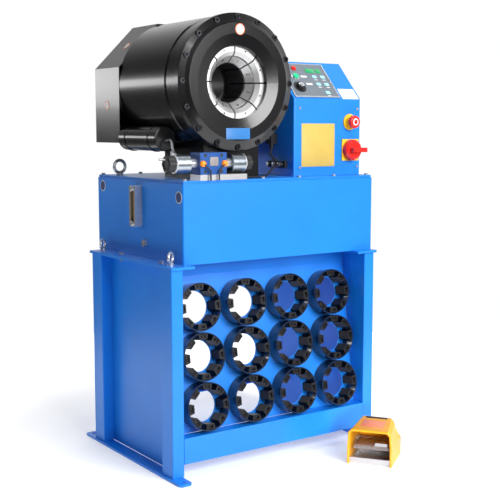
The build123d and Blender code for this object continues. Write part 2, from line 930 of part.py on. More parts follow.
# Pedal on the floor
def make_pedal():
    place = Pos(pedal_x, pedal_y, 0) * Rot(0, 0, pedal_turn)
    half = pedal_width / 2
    w = pedal_wall
    side_plane = Plane(origin=(-half, 0, 0), x_dir=(0, 1, 0), z_dir=(1, 0, 0))
    outline = [
        (0, 0),
        (0, pedal_height - hood_front_bevel),
        (hood_front_bevel, pedal_height),
        (pedal_depth - hood_shoulder_back, pedal_height + hood_crown),
        (pedal_depth - hood_knee_back, pedal_height - hood_shoulder_drop),
        (pedal_depth, pedal_height - hood_knee_drop),
        (pedal_depth, 0),
    ]
    guard = extrude(side_plane * make_face(Polyline(*outline, close=True)), pedal_width)
    guard = chamfer(guard.edges().filter_by(Axis.Y).group_by(Axis.Z)[-1], pedal_bevel)
    guard -= block(-half + w, half - w, -1, pedal_depth - w, -1, pedal_height - pedal_mouth_drop)
    guard -= block(-half + w, half - w, -1, pedal_depth - pedal_back_margin, -1, pedal_height - 2 * w)
    guard -= Pos(0, treadle_pin_y, treadle_pin_z) * Rot(0, 90, 0) * Cylinder(treadle_pin_radius, pedal_width)
    save("pedal_guard", place * guard)
    base_half = half - w - pedal_play
    base = block(-base_half, base_half, pedal_base_inset, pedal_depth - w - pedal_play, 0, pedal_base_height)
    pocket_half = base_half - pedal_rim
    pocket_low = pedal_base_height - pedal_pocket_depth
    pocket_front = pedal_base_inset + pedal_rim
    base -= block(-pocket_half, pocket_half, pocket_front, pedal_pocket_end, pocket_low, pedal_base_height + 1)
    ear_front, ear_back = treadle_pin_y - pedal_ear_front, treadle_pin_y + pedal_ear_back
    for x in (-base_half, base_half - pedal_ear):
        base += block(x, x + pedal_ear, ear_front, ear_back, pocket_low, treadle_pin_z + pedal_ear_top)
    base -= Pos(0, treadle_pin_y, treadle_pin_z) * Rot(0, 90, 0) * Cylinder(treadle_pin_radius, pedal_width)
    save("pedal_base", place * base)
    pin = Pos(0, treadle_pin_y, treadle_pin_z) * Rot(0, 90, 0) * Cylinder(treadle_pin_radius, pedal_width)
    save("pedal_pin", place * pin)
    tread_half = base_half - pedal_ear - 1
    front = treadle_pin_y - treadle_length
    low, high = treadle_pin_z - treadle_thickness / 2, treadle_pin_z + treadle_thickness / 2
    treadle = block(-tread_half, tread_half, front, treadle_pin_y, low, high)
    treadle += Pos(0, treadle_pin_y, treadle_pin_z) * Rot(0, 90, 0) * Cylinder(treadle_hub_radius, 2 * tread_half)
    treadle -= Pos(0, treadle_pin_y, treadle_pin_z) * Rot(0, 90, 0) * Cylinder(
        treadle_pin_radius + 0.08, pedal_width
    )
    save("pedal_treadle", place * treadle)


make_stand()
make_rack()
make_tank()
make_head()
make_dies()
make_filter()
make_control_box()
make_valve()
make_pedal()
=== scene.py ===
"""Looks of the hose crimping machine: finishes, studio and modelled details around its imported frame."""

import logging
import math
from dataclasses import dataclass
from enum import Enum

import bpy
import numpy as np
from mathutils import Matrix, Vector

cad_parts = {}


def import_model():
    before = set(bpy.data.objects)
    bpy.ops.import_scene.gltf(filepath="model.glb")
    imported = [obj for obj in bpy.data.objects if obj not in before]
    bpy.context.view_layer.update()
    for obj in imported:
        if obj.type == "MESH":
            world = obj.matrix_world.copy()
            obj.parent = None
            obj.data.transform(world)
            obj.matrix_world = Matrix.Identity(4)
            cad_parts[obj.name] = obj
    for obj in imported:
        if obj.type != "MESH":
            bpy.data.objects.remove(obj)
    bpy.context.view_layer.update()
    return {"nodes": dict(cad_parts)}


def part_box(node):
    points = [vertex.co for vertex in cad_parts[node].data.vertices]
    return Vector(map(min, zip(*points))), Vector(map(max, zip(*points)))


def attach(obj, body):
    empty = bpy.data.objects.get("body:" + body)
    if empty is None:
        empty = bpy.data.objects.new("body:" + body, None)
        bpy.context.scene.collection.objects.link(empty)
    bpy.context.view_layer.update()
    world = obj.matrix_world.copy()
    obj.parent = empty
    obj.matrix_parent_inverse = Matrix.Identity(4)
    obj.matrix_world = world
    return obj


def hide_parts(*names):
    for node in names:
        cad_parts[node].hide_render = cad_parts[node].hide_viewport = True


LOG = logging.getLogger("crimper")
MM = 0.001
Row = tuple[float, float]
Point = tuple[float, float, float]
LEFT_SIDE = (0.0, -1.0, 0.0)
WHITE_LIGHT = (1.0, 1.0, 1.0, 1.0)
# How fine the finishes' patterns are, and where a rounded edge starts to take a painted highlight.
MOTTLE_SPAN = (0.3, 0.7)
BROAD_DETAIL = 3.0
FINE_DETAIL = 2.0
SMOOTHEST = 0.02
EDGE_SAMPLES = 4
BUMP_DEPTH = 0.3
COAT_ROUGHNESS = 0.06
EDGE_HIGHLIGHT_SPAN = (0.995, 0.93)
# How the small pieces' meshes are drawn: a plate's edge and corner in millimetres, points on arcs and tubes.
SHARP_DEGREES = 35
EDGE_SHARE = 0.6
EDGE_MOST = 1.2
EDGE_EASE = 0.3
CORNER_LEAST = 0.2
ARC_POINTS = 7
PIPE_ORDER = 3
PIPE_STEPS = 10
ROUND_STEPS = 4
STAMP_DEPTH = 0.15


def linear(hex_colour: str) -> tuple[float, float, float, float]:
    """Turn an sRGB hex colour into linear red, green, blue and alpha.

    Args:
        hex_colour: six hex digits.

    Returns:
        The linear colour with alpha 1.
    """
    values = np.array([int(hex_colour[i:i + 2], 16) for i in (0, 2, 4)]) / 255
    low = values / 12.92
    high = ((values + 0.055) / 1.055) ** 2.4
    red, green, blue = np.where(values <= 0.04045, low, high)
    return float(red), float(green), float(blue), 1.0


def add_node(tree: bpy.types.NodeTree, kind: str, links: dict | None = None, **settings) -> bpy.types.Node:
    """Add a node, set its properties or inputs, and link sockets into it.

    Args:
        tree: the node tree.
        kind: Blender's name for the node type.
        links: input name or index to the output socket that feeds it.
        settings: properties of the node, or values of its inputs by name.

    Returns:
        The new node.
    """
    node = tree.nodes.new(kind)
    for key, value in settings.items():
        if hasattr(node, key):
            setattr(node, key, value)
        else:
            node.inputs[key.replace("_", " ")].default_value = value
    for key, output in (links or {}).items():
        tree.links.new(output, node.inputs[key])
    return node


class Grain(Enum):
    """How a surface was made, which decides the direction of its fine pattern."""

    EVEN = (1.0, 1.0, 1.0)
    TURNED = (1.0, 18.0, 1.0)
    GROUND_X = (0.06, 1.0, 1.0)


@dataclass(frozen=True)
class Finish:
    """One real finish and the node material that shows it."""

    name: str
    base: str
    metallic: float = 0.0
    roughness: float = 0.4
    ior: float = 1.5
    coat: float = 0.0
    mottle: float = 0.06
    mottle_mm: float = 90.0
    bump: float = 0.04
    bump_mm: float = 1.6
    rough_spread: float = 0.08
    edge_mm: float = 0.0
    # A light colour painted on sharp edges as a painted highlight; empty for none.
    wear: str = ""
    grain: Grain = Grain.EVEN
    glow: float = 0.0

    def material(self) -> bpy.types.Material:
        """Build the material the first time and give the same one afterwards.

        Returns:
            The material.
        """
        found = bpy.data.materials.get(self.name)
        if found:
            return found
        made = bpy.data.materials.new(self.name)
        made.use_nodes = True
        tree = made.node_tree
        tree.nodes.clear()
        place = add_node(tree, "ShaderNodeTexCoord").outputs["Object"]
        stretched = add_node(tree, "ShaderNodeMapping", {"Vector": place}, Scale=self.grain.value)
        broad = add_node(
            tree, "ShaderNodeTexNoise", {"Vector": place}, Scale=1 / (self.mottle_mm * MM),
            Detail=BROAD_DETAIL
        )
        fine = add_node(
            tree,
            "ShaderNodeTexNoise",
            {"Vector": stretched.outputs[0]},
            Scale=1 / (self.bump_mm * MM),
            Detail=FINE_DETAIL,
        )
        colour = np.array(linear(self.base))
        ramp = add_node(tree, "ShaderNodeValToRGB", {"Fac": broad.outputs["Fac"]})
        ramp.color_ramp.elements[0].position = MOTTLE_SPAN[0]
        ramp.color_ramp.elements[1].position = MOTTLE_SPAN[1]
        ramp.color_ramp.elements[0].color = [*(colour[:3] * (1 - self.mottle)), 1]
        ramp.color_ramp.elements[1].color = [*np.minimum(colour[:3] * (1 + self.mottle), 1), 1]
        rough = add_node(
            tree,
            "ShaderNodeMapRange",
            {"Value": fine.outputs["Fac"]},
            To_Min=max(self.roughness - self.rough_spread / 2, SMOOTHEST),
            To_Max=min(self.roughness + self.rough_spread / 2, 1.0),
        )
        bump_links = {"Height": fine.outputs["Fac"]}
        shown = ramp.outputs["Color"]
        if self.edge_mm:
            edge = add_node(tree, "ShaderNodeBevel", Radius=self.edge_mm * MM, samples=EDGE_SAMPLES)
            bump_links["Normal"] = edge.outputs["Normal"]
            # Sharp edges take a light colour: a painted highlight.
            if self.wear:
                shown = self.worn(tree, shown, edge.outputs["Normal"])
        bump = add_node(tree, "ShaderNodeBump", bump_links, Strength=self.bump, Distance=BUMP_DEPTH * MM)
        shader = add_node(
            tree,
            "ShaderNodeBsdfPrincipled",
            {
                "Base Color": shown,
                "Roughness": rough.outputs["Result"],
                "Normal": bump.outputs["Normal"],
            },
            Metallic=self.metallic,
            IOR=self.ior,
            Coat_Weight=self.coat,
            Coat_Roughness=COAT_ROUGHNESS,
        )
        if self.glow:
            shader.inputs["Emission Color"].default_value = linear(self.base)
            shader.inputs["Emission Strength"].default_value = self.glow
        add_node(tree, "ShaderNodeOutputMaterial", {"Surface": shader.outputs[0]})
        made.diffuse_color = linear(self.base)
        return made

    def worn(
        self, tree: bpy.types.NodeTree, colour: bpy.types.NodeSocket, rounded: bpy.types.NodeSocket,
    ) -> bpy.types.NodeSocket:
        """Mix a light colour in on sharp edges as a painted highlight.

        An edge is where the rounded normal leans away from the face's own normal.

        Args:
            tree: the material's nodes.
            colour: the colour of the faces.
            rounded: the normal of the rounded edges.

        Returns:
            The colour socket of faces and edges together.
        """
        face = add_node(tree, "ShaderNodeNewGeometry").outputs["True Normal"]
        lean = add_node(tree, "ShaderNodeVectorMath", {0: face, 1: rounded}, operation="DOT_PRODUCT")
        highlight_starts, highlight_full = EDGE_HIGHLIGHT_SPAN
        mask = add_node(
            tree, "ShaderNodeMapRange", {"Value": lean.outputs["Value"]}, From_Min=highlight_starts,
            From_Max=highlight_full, To_Min=0.0, To_Max=1.0,
        )
        mix = add_node(tree, "ShaderNodeMix", {"Factor": mask.outputs["Result"]}, data_type="RGBA")
        tree.links.new(colour, mix.inputs["A"])
        mix.inputs["B"].default_value = linear(self.wear)
        return mix.outputs["Result"]


# Gloss powder coat on sheet steel: faint orange peel, soft reflections, a light line on folded edges.
BLUE_COAT = Finish(
    "powder_coat_blue", "107de2", roughness=0.36, bump=0.05, bump_mm=2.2, mottle=0.035, edge_mm=1.2,
)
# The blue coat darkened for the small cups: painted shade, as their sides stand in shadow.
BLUE_COAT_PAINTED_SHADE = Finish(
    "powder_coat_blue_painted_shade", "122440", roughness=0.25, coat=0.5, bump=0.05, bump_mm=2.0, mottle=0.1, edge_mm=0.6,
)
# Black gloss enamel over turned steel: smooth and even under a thin shiny coat.
BLACK_ENAMEL = Finish(
    "enamel_black", "0d0d0f", roughness=0.24, coat=0.15, bump=0.03, bump_mm=3.0, mottle=0.12, edge_mm=1.2
)
# Black oxide on hardened die steel: dark and oily; the light grey mixed in on its edges is a painted
# highlight.
BLACK_OXIDE = Finish(
    "black_oxide", "17171a", metallic=0.3, roughness=0.3, mottle=0.25, mottle_mm=14, bump=0.08, bump_mm=1.0,
    edge_mm=2.4,
    wear="9a9ea4",
)
# Ground and polished tool steel: fine lines and soft mirror.
GROUND_STEEL = Finish(
    "ground_steel", "9fa1a1", metallic=1.0, roughness=0.36, mottle=0.06, mottle_mm=20, bump=0.07, bump_mm=0.9,
    grain=Grain.TURNED, edge_mm=0.5,
)
# Bright zinc plate on fasteners.
BRIGHT_ZINC = Finish(
    "zinc_bright", "c4c8ce", metallic=0.7, roughness=0.22, mottle=0.1, mottle_mm=8, bump=0.05, bump_mm=0.8,
    edge_mm=0.4,
)
# Plated coil cans, drawn from tube.
COIL_CAN = Finish(
    "zinc_coil_can", "a9b2bb", metallic=1.0, roughness=0.3, mottle=0.08, mottle_mm=12, bump=0.04,
    grain=Grain.GROUND_X,
)
# Satin anodised aluminium of the key panel.
PANEL_GREY = Finish(
    "anodised_grey", "76808a", metallic=0.35, roughness=0.45, mottle=0.05, mottle_mm=12, bump=0.04,
    bump_mm=0.7,
)
PANEL_FRAME = Finish(
    "anodised_silver", "c8ccd0", metallic=0.8, roughness=0.35, mottle=0.05, bump=0.03, bump_mm=0.8,
)
# Moulded ABS and nylon, with the fine spark texture of the mould.
RED_ABS = Finish(
    "abs_red", "e0241c", roughness=0.28, mottle=0.05, mottle_mm=30, bump=0.05, bump_mm=0.8, edge_mm=0.8,
)
YELLOW_ABS = Finish(
    "abs_yellow", "f7c32a", roughness=0.35, mottle=0.05, mottle_mm=30, bump=0.05, bump_mm=1.2, edge_mm=0.8,
)
PEDAL_YELLOW = Finish(
    "abs_pedal_yellow", "e09a0e", roughness=0.38, mottle=0.06, mottle_mm=40, bump=0.08, bump_mm=1.6,
    edge_mm=1.5,
)
GREEN_ABS = Finish("abs_green", "18c48a", roughness=0.3, mottle=0.05, mottle_mm=10, bump=0.03, edge_mm=0.5)
# Black nylon on real parts; the same black on the pedal hood's recess sheet is painted shade.
BLACK_NYLON_AND_PAINTED_SHADE = Finish(
    "nylon_black_and_painted_shade", "1c1c1e", roughness=0.5, mottle=0.12, mottle_mm=12, bump=0.1, bump_mm=1.0, edge_mm=0.5,
)
GREY_NYLON = Finish(
    "nylon_grey", "8b8d8f", roughness=0.5, mottle=0.08, mottle_mm=12, bump=0.08, bump_mm=1.0, edge_mm=0.5,
)
# White film on labels, discs and small parts; on the coil rings the flat white is a painted highlight for a
# plated rim.
WHITE_FILM_AND_PAINTED_HIGHLIGHT = Finish("film_white_and_painted_highlight", "d4d6d8", roughness=0.4, mottle=0.02, mottle_mm=20, bump=0.02)
YELLOW_FILM = Finish("film_yellow", "c8aa52", roughness=0.45, mottle=0.03, mottle_mm=25, bump=0.02)
ORANGE_FILM = Finish("film_orange", "e8825a", roughness=0.45, mottle=0.03, bump=0.02)
NAVY_FILM = Finish("film_navy", "16306a", roughness=0.4)
BLUE_FILM = Finish("film_blue", "2a72b4", roughness=0.4, mottle=0.03, bump=0.02)
CYAN_KEY = Finish("key_cyan", "9fdcf2", roughness=0.35, mottle=0.03, mottle_mm=5, bump=0.02)
DISPLAY_GREEN = Finish(
    "display_green", "1c9a5c", roughness=0.2, mottle=0.08, mottle_mm=4, bump=0.01, glow=0.15,
)
ORANGE_LENS = Finish("lens_orange", "f58a1e", roughness=0.15, mottle=0.05, mottle_mm=4, bump=0.01, glow=0.2)
STAMP_INK = Finish("stamp_dark", "3a3a3c", roughness=0.6, mottle=0.1, mottle_mm=4)
GAUGE_GLASS = Finish(
    "gauge_glass_amber", "8a6a30", roughness=0.08, mottle=0.1, mottle_mm=8, bump=0.01, coat=0.5,
)
VALVE_BLUE = Finish(
    "valve_enamel", "1d4f96", roughness=0.3, coat=0.3, mottle=0.08, mottle_mm=25, bump=0.12, bump_mm=1.6,
    edge_mm=0.8,
)
CAST_ALLOY = Finish(
    "cast_alloy", "9c9ba1", metallic=0.3, roughness=0.42, mottle=0.1, mottle_mm=14, bump=0.2, bump_mm=1.4,
    edge_mm=1.0,
)
TREAD_ALLOY = Finish(
    "cast_alloy_tread", "9d8f8f", metallic=0.3, roughness=0.5, mottle=0.16, mottle_mm=10, bump=0.3,
    bump_mm=1.8, edge_mm=0.8,
)
INSERT_STEEL = Finish(
    "insert_steel", "55555a", metallic=0.85, roughness=0.3, mottle=0.15, mottle_mm=14, bump=0.06,
    grain=Grain.TURNED,
)
SCREW_STEEL = Finish(
    "screw_black_oxide", "3c3d41", metallic=0.9, roughness=0.24, mottle=0.3, mottle_mm=6, edge_mm=0.8,
)
PLATE_GREY = Finish("film_grey", "8d8688", roughness=0.45, mottle=0.1, mottle_mm=10)

NODE_FINISHES: dict[Finish, tuple[str, ...]] = {
    BLUE_COAT: (
        "corner_posts", "side_panels", "top_plates", "foot_plates", "cross_beams", "rack_panel",
        "tank_shell", "tank_lid", "control_box",
    ),
    # The die cups take the blue coat darkened as painted shade.
    BLUE_COAT_PAINTED_SHADE: ("die_cups",),
    SCREW_STEEL: ("flange_screws",),
    BLACK_ENAMEL: ("head_barrel", "front_flange", "rear_cover", "head_pedestal", "return_filter"),
    BLACK_OXIDE: tuple(f"stored_dies_row_{n}" for n in (1, 2, 3)),
    INSERT_STEEL: tuple(f"inner_die_{n}" for n in range(1, 9)),
    GROUND_STEEL: tuple(f"master_die_{n}" for n in range(1, 9)) + ("press_piston",),
    BRIGHT_ZINC: (
        "frame_bolts", "cap_screws", "drain_plug", "lifting_eyes", "gauge_frame", "valve_tubes", "pedal_pin",
    ),
    BLACK_NYLON_AND_PAINTED_SHADE: ("cable_entries", "valve_leads", "pressure_dial"),
    PANEL_GREY: ("control_overlay",),
    GREEN_ABS: ("start_button",),
    RED_ABS: ("stop_button", "switch_knob"),
    YELLOW_ABS: ("stop_collar", "switch_plate"),
    PEDAL_YELLOW: ("pedal_guard",),
    VALVE_BLUE: ("valve_body",),
    COIL_CAN: ("valve_coils",),
    GAUGE_GLASS: ("gauge_glass",),
    CAST_ALLOY: ("pedal_base", "valve_base"),
    TREAD_ALLOY: ("pedal_treadle",),
}


@dataclass(frozen=True)
class Place:
    """A flat place on the machine: an origin in metres and two directions in the plane."""

    origin: Point
    across: Point = (1.0, 0.0, 0.0)
    up: Point = (0.0, 0.0, 1.0)

    def lift(self, points: np.ndarray) -> np.ndarray:
        """Carry local points onto the machine: P = origin + a across + b up + c (across x up).

        Args:
            points: rows of (a, b, c) in metres.

        Returns:
            The same points in the frame's coordinates.
        """
        across, up = np.array(self.across), np.array(self.up)
        basis = np.stack([across, up, np.cross(across, up)])
        return np.asarray(points) @ basis + np.array(self.origin)

    def moved(self, across_mm: float, up_mm: float, out_mm: float = 0.0) -> "Place":
        """Shift the place and keep its directions.

        Args:
            across_mm: shift across, in millimetres.
            up_mm: shift up, in millimetres.
            out_mm: shift out of the plane, in millimetres.

        Returns:
            The shifted place.
        """
        origin = self.lift(np.array([[across_mm, up_mm, out_mm]]) * MM)[0]
        return Place(tuple(origin), self.across, self.up)


@dataclass(frozen=True)
class Turning:
    """A turned part: (radius, height) in millimetres from back to front, finish, points round and lobes."""

    outline: tuple[Row, ...]
    finish: Finish
    steps: int = 64
    lobes: Row = (0, 0.0)


@dataclass(frozen=True)
class Sheet:
    """A small plate: its size across, up and out in millimetres, its finish and its corner radius."""

    width: float
    height: float
    thickness: float
    finish: Finish
    corner: float = 2.0


@dataclass(frozen=True)
class Disc:
    """A round film with a smaller one on it: radii and step in millimetres, and the finishes of both."""

    radius: float
    inner: float
    step: float
    rim_finish: Finish = ORANGE_FILM
    face_finish: Finish = WHITE_FILM_AND_PAINTED_HIGHLIGHT
    rim_thickness: float = 0.6
    face_thickness: float = 0.5


def ring_mesh(
    name: str, rings: np.ndarray, finish: Finish, body: str, smooth: bool = True,
) -> bpy.types.Object:
    """Join closed rings into a closed skin and ride it on a body.

    The surface is the family of rings S(i, j), where i counts rings and j goes round, with a flat cap on the
    first and the last ring.

    Args:
        name: the piece's name.
        rings: array of shape (rings, points, 3), in metres, that turns the same way in each ring.
        finish: its finish.
        body: the CAD body that it rides on.
        smooth: shade the sides smoothly.

    Returns:
        The piece.
    """
    count, around = rings.shape[:2]
    i, j = np.meshgrid(np.arange(count - 1), np.arange(around), indexing="ij")
    k = (j + 1) % around
    quads = np.stack([i * around + j, i * around + k, (i + 1) * around + k, (i + 1) * around + j], -1)
    first, last = list(range(around))[::-1], list(range((count - 1) * around, count * around))
    mesh = bpy.data.meshes.new(name)
    mesh.from_pydata(rings.reshape(-1, 3).tolist(), [], [*quads.reshape(-1, 4).tolist(), first, last])
    mesh.polygons.foreach_set("use_smooth", [smooth] * len(mesh.polygons))
    piece = bpy.data.objects.new(name, mesh)
    bpy.context.scene.collection.objects.link(piece)
    if smooth:
        mesh.set_sharp_from_angle(angle=math.radians(SHARP_DEGREES))
    mesh.materials.append(finish.material())
    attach(piece, body)
    LOG.info("%s rides on %s with %d faces", name, body, len(mesh.polygons))
    return piece


def turned(name: str, place: Place, part: Turning, body: str = "root") -> bpy.types.Object:
    """Turn an outline about a place's normal: S(h, t) = (r(h) w(t) cos t, r(h) w(t) sin t, h).

    The lobes are w(t) = 1 + share cos(number t), and w = 1 without them.

    Args:
        name: the piece's name.
        place: centre and directions.
        part: its outline, finish, points round and lobes.
        body: the body that it rides on.

    Returns:
        The piece.
    """
    angle = np.linspace(0, 2 * np.pi, part.steps, endpoint=False)
    radius, height = np.array(part.outline, float).T * MM
    number, share = part.lobes
    wave = 1 + share * np.cos(number * angle)
    rings = np.stack(
        [
            radius[:, None] * wave * np.cos(angle),
            radius[:, None] * wave * np.sin(angle),
            np.repeat(height[:, None], part.steps, 1),
        ],
        -1,
    )
    return ring_mesh(name, place.lift(rings), part.finish, body)


def plate(name: str, place: Place, sheet: Sheet, body: str = "root") -> bpy.types.Object:
    """Make a plate with round corners and a rounded front edge.

    The outline is four arcs of the corner radius, and the rings are that outline pulled in along the edge.

    Args:
        name: the piece's name.
        place: the middle of its back.
        sheet: its size, corner and finish.
        body: the body that it rides on.

    Returns:
        The piece.
    """
    thickness = sheet.thickness
    edge = min(thickness * EDGE_SHARE, EDGE_MOST)
    quarter = np.linspace(0, np.pi / 2, ARC_POINTS)
    turn = np.concatenate([quarter + n * np.pi / 2 for n in range(4)])
    signs = np.repeat(np.array([[1, 1], [-1, 1], [-1, -1], [1, -1]]), ARC_POINTS, 0)
    eased = edge * EDGE_EASE
    rings = []
    for inset, out in ((0, 0), (0, thickness - edge), (eased, thickness - eased), (edge, thickness)):
        corner = max(sheet.corner - inset, CORNER_LEAST)
        half = np.array([sheet.width / 2 - inset - corner, sheet.height / 2 - inset - corner])
        flat = signs * half + corner * np.stack([np.cos(turn), np.sin(turn)], -1)
        rings.append(np.column_stack([flat, np.full(len(flat), out)]))
    return ring_mesh(name, place.lift(np.array(rings) * MM), sheet.finish, body)


def disc(rim_name: str, face_name: str, place: Place, film: Disc) -> None:
    """Lay a round film and a smaller one on it.

    Args:
        rim_name: name of the larger film.
        face_name: name of the smaller film.
        place: their centre.
        film: their sizes and finishes.
    """
    rim = Turning(((film.radius, 0), (film.radius, film.rim_thickness)), film.rim_finish)
    face = Turning(((film.inner, 0), (film.inner, film.face_thickness)), film.face_finish)
    turned(rim_name, place, rim)
    turned(face_name, place.moved(0, 0, film.step), face)


def pipe(
    name: str, points: list[Point], radius: float, finish: Finish, body: str = "root",
) -> bpy.types.Object:
    """Make a bent pipe on a smooth curve.

    Args:
        name: the piece's name.
        points: control points in metres.
        radius: its radius in millimetres.
        finish: its finish.
        body: the body that it rides on.

    Returns:
        The piece.
    """
    curve = bpy.data.curves.new(name, "CURVE")
    curve.dimensions = "3D"
    spline = curve.splines.new("NURBS")
    spline.points.add(len(points) - 1)
    for point, place in zip(spline.points, points):
        point.co = (*place, 1)
    spline.order_u = PIPE_ORDER
    spline.use_endpoint_u = True
    curve.resolution_u = PIPE_STEPS
    curve.bevel_depth = radius * MM
    curve.bevel_resolution = ROUND_STEPS
    curve.use_fill_caps = True
    piece = bpy.data.objects.new(name, curve)
    bpy.context.scene.collection.objects.link(piece)
    curve.materials.append(finish.material())
    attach(piece, body)
    LOG.info("%s rides on %s", name, body)
    return piece


def numeral(name: str, text: str, place: Place, size: float, finish: Finish, body: str) -> bpy.types.Object:
    """Make a plain numeral as a thin mesh on a place.

    Args:
        name: the piece's name.
        text: the figure.
        place: its middle.
        size: its height in millimetres.
        finish: its finish.
        body: the body that it rides on.

    Returns:
        The piece.
    """
    curve = bpy.data.curves.new(name, "FONT")
    curve.body = text
    curve.size = size * MM
    curve.extrude = STAMP_DEPTH * MM
    curve.align_x = "CENTER"
    curve.align_y = "CENTER"
    shown = bpy.data.objects.new(name + "_text", curve)
    bpy.context.scene.collection.objects.link(shown)
    graph = bpy.context.evaluated_depsgraph_get()
    mesh = bpy.data.meshes.new_from_object(shown.evaluated_get(graph))
    bpy.data.objects.remove(shown)
    flat = np.zeros(len(mesh.vertices) * 3)
    mesh.vertices.foreach_get("co", flat)
    mesh.vertices.foreach_set("co", place.lift(flat.reshape(-1, 3)).ravel())
    mesh.update()
    mesh.materials.clear()
    mesh.materials.append(finish.material())
    piece = bpy.data.objects.new(name, mesh)
    bpy.context.scene.collection.objects.link(piece)
    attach(piece, body)
    LOG.info("%s rides on %s", name, body)
    return piece


@dataclass(frozen=True)
class Lamp:
    """One soft light: a rectangle in metres, or a spot where cone is its angle in degrees."""

    name: str
    at: Point
    to: Point
    watts: float
    size: Row
    cone: float = 0.0


@dataclass
class Studio:
    """Camera, floor and soft lights."""

    azimuth: float = 34.8
    pitch: float = 6.9
    camera_at: Point = (-1.7505, -2.610, 0.9883)
    lens: float = 72.4
    sensor: float = 36.0
    floor_radius: float = 1.8
    floor_steps: int = 128
    floor_tone: Row = (0.86, 0.9)
    floor_grain: float = 12.0
    floor_roughness: float = 0.9
    glow_start: float = 0.75
    glow_end: float = 1.7
    glow_near: float = 0.3
    wall_turn: float = 1.73
    wall_edge: float = 1.4
    wall_blend: float = 1.1
    wall_level: float = 1.02
    flag_level: float = 0.1
    spot_blend: float = 0.8
    lamps: tuple[Lamp, ...] = (
        Lamp("key", (0.5, -4.6, 2.5), (0.0, 0.0, 0.6), 350, (3.2, 2.6)),
        Lamp("top", (0.2, -0.3, 3.6), (0.0, 0.0, 0.8), 30, (1.2, 1.2)),
        Lamp("strip_left", (-1.75, 2.05, 1.25), (-0.3, 0.0, 1.13), 14, (2.4, 0.3)),
        Lamp("strip_high", (-1.9, 1.4, 3.0), (-0.2, 0.0, 1.2), 6, (2.0, 0.25)),
        Lamp("low_fill", (-0.35, -1.5, 0.16), (0.2, -0.4, 0.05), 55, (0.12, 0.12), cone=20.0),
    )

    def build(self) -> None:
        """Place the camera, the floor and the lights."""
        scene = bpy.context.scene
        scene.view_settings.view_transform = "Standard"
        camera = bpy.data.objects.new("camera", bpy.data.cameras.new("camera"))
        camera.data.lens = self.lens
        camera.data.sensor_width = self.sensor
        camera.location = self.camera_at
        camera.rotation_euler = (math.radians(90 - self.pitch), 0, math.radians(-self.azimuth))
        scene.collection.objects.link(camera)
        scene.camera = camera
        turn = np.linspace(0, 2 * np.pi, self.floor_steps, endpoint=False)
        rim = self.floor_radius * np.column_stack([np.cos(turn), np.sin(turn), 0 * turn])
        mesh = bpy.data.meshes.new("floor")
        mesh.from_pydata(rim.tolist(), [], [list(range(len(rim)))])
        floor = bpy.data.objects.new("floor", mesh)
        scene.collection.objects.link(floor)
        mesh.materials.append(self.floor_paint())
        self.room()
        for lamp in self.lamps:
            self.light(lamp)

    def floor_paint(self) -> bpy.types.Material:
        """Make the floor's pale paint, which glows towards its far edge so that it runs into the white wall.

        Returns:
            The material.
        """
        made = bpy.data.materials.new("floor_pale")
        made.use_nodes = True
        tree = made.node_tree
        tree.nodes.clear()
        place = add_node(tree, "ShaderNodeTexCoord").outputs["Object"]
        reach = add_node(tree, "ShaderNodeVectorMath", {0: place}, operation="LENGTH")
        glow = add_node(
            tree, "ShaderNodeMapRange", {"Value": reach.outputs["Value"]}, From_Min=self.glow_start,
            From_Max=self.glow_end, To_Min=self.glow_near, To_Max=self.wall_level,
        )
        grain = add_node(tree, "ShaderNodeTexNoise", {"Vector": place}, Scale=self.floor_grain)
        dark, pale = self.floor_tone
        tone = add_node(tree, "ShaderNodeMapRange", {"Value": grain.outputs["Fac"]}, To_Min=dark, To_Max=pale)
        colour = add_node(tree, "ShaderNodeCombineColor", {n: tone.outputs["Result"] for n in range(3)})
        shader = add_node(
            tree, "ShaderNodeBsdfPrincipled",
            {"Base Color": colour.outputs[0], "Emission Strength": glow.outputs["Result"]},
            Roughness=self.floor_roughness,
        )
        shader.inputs["Emission Color"].default_value = WHITE_LIGHT
        add_node(tree, "ShaderNodeOutputMaterial", {"Surface": shader.outputs[0]})
        return made

    def room(self) -> None:
        """Build the room's light: a white wall behind the object and dark flags at the sides and the front.

        The strength at a direction (x, y, z) is the dark level plus the white wall's, which rises with y and
        more so with x, as the wall stands behind and to the right.
        """
        world = bpy.data.worlds.new("studio")
        world.use_nodes = True
        tree = world.node_tree
        tree.nodes.clear()
        direction = add_node(tree, "ShaderNodeTexCoord").outputs["Generated"]
        parts = add_node(tree, "ShaderNodeSeparateXYZ", {0: direction})
        side = add_node(tree, "ShaderNodeMath", {0: parts.outputs["X"]}, operation="MULTIPLY")
        side.inputs[1].default_value = self.wall_turn
        facing = add_node(
            tree, "ShaderNodeMath", {0: parts.outputs["Y"], 1: side.outputs[0]}, operation="ADD",
        )
        wall = add_node(
            tree, "ShaderNodeMapRange", {"Value": facing.outputs[0]},
            From_Min=self.wall_edge - self.wall_blend,
            From_Max=self.wall_edge, To_Min=self.flag_level, To_Max=self.wall_level,
        )
        background = add_node(tree, "ShaderNodeBackground", {"Strength": wall.outputs["Result"]})
        background.inputs["Color"].default_value = WHITE_LIGHT
        add_node(tree, "ShaderNodeOutputWorld", {"Surface": background.outputs[0]})
        bpy.context.scene.world = world

